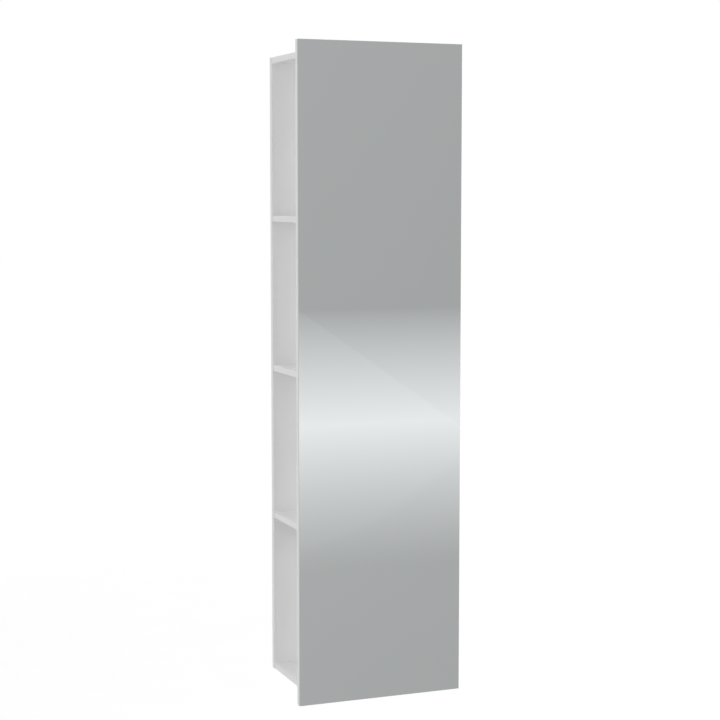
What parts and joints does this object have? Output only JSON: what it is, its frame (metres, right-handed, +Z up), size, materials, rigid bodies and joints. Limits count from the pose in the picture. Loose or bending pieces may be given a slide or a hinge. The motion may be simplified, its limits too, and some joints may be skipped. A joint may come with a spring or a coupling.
{
  "type": "mirror with shelf",
  "caption": "Tall narrow wall-hung mirror on a white board, with open stacked compartments behind it, reached from the sides, and concealed height-adjustable hangers.",
  "frame": {"origin": "on the wall plane, at the centre of the back panel's rear face", "axes": "+X to the right seen from the front, +Y into the wall, +Z up"},
  "size_m": [0.45, 0.296, 1.7],
  "materials": {
    "mirror_glass": "silvered float glass, polished and arrissed edges",
    "adhesive": "thin elastic adhesive film",
    "white_lacquer": "satin white lacquer on fibreboard",
    "beech": "plain turned beech",
    "zinc_plate": "zinc-plated sheet steel",
    "screw_steel": "bright zinc-plated steel"
  },
  "bodies": {
    "carcass": {"mirror_glass": "mirror_glass", "mirror_bond": "adhesive", "front_board": "white_lacquer", "back_panel": "white_lacquer", "top_panel": "white_lacquer", "upper_shelf": "white_lacquer", "middle_shelf": "white_lacquer", "lower_shelf": "white_lacquer", "bottom_panel": "white_lacquer", "dowels_front": "beech", "dowels_back": "beech", "hanger_tray_left": "zinc_plate", "hanger_tray_right": "zinc_plate", "tray_screws": "screw_steel"},
    "left_screw": {"adjusting_screw_left": "screw_steel"},
    "right_screw": {"adjusting_screw_right": "screw_steel"},
    "left_hook": {"hanger_slider_left": "zinc_plate", "wall_hook_left": "zinc_plate"},
    "right_hook": {"hanger_slider_right": "zinc_plate", "wall_hook_right": "zinc_plate"}
  },
  "joints": [
    {"name": "left_hook_slide", "type": "slide", "parent": "carcass", "child": "left_hook", "axis": [0, 0, 1], "range_m": [-0.005, 0.005]},
    {"name": "right_hook_slide", "type": "slide", "parent": "carcass", "child": "right_hook", "axis": [0, 0, 1], "range_m": [-0.005, 0.005]},
    {"name": "left_screw_turn", "type": "hinge", "parent": "carcass", "child": "left_screw", "pos_m": [-0.12, -0.00605, 0.77], "axis": [0, 0, 1], "range_deg": [-2251, 2251]},
    {"name": "right_screw_turn", "type": "hinge", "parent": "carcass", "child": "right_screw", "pos_m": [0.12, -0.00605, 0.77], "axis": [0, 0, 1], "range_deg": [-2251, 2251]}
  ],
  "couplings": [
    {"joint": "left_screw_turn", "follows": "left_hook_slide", "rad_per_m": -7854},
    {"joint": "right_screw_turn", "follows": "right_hook_slide", "rad_per_m": -7854}
  ]
}
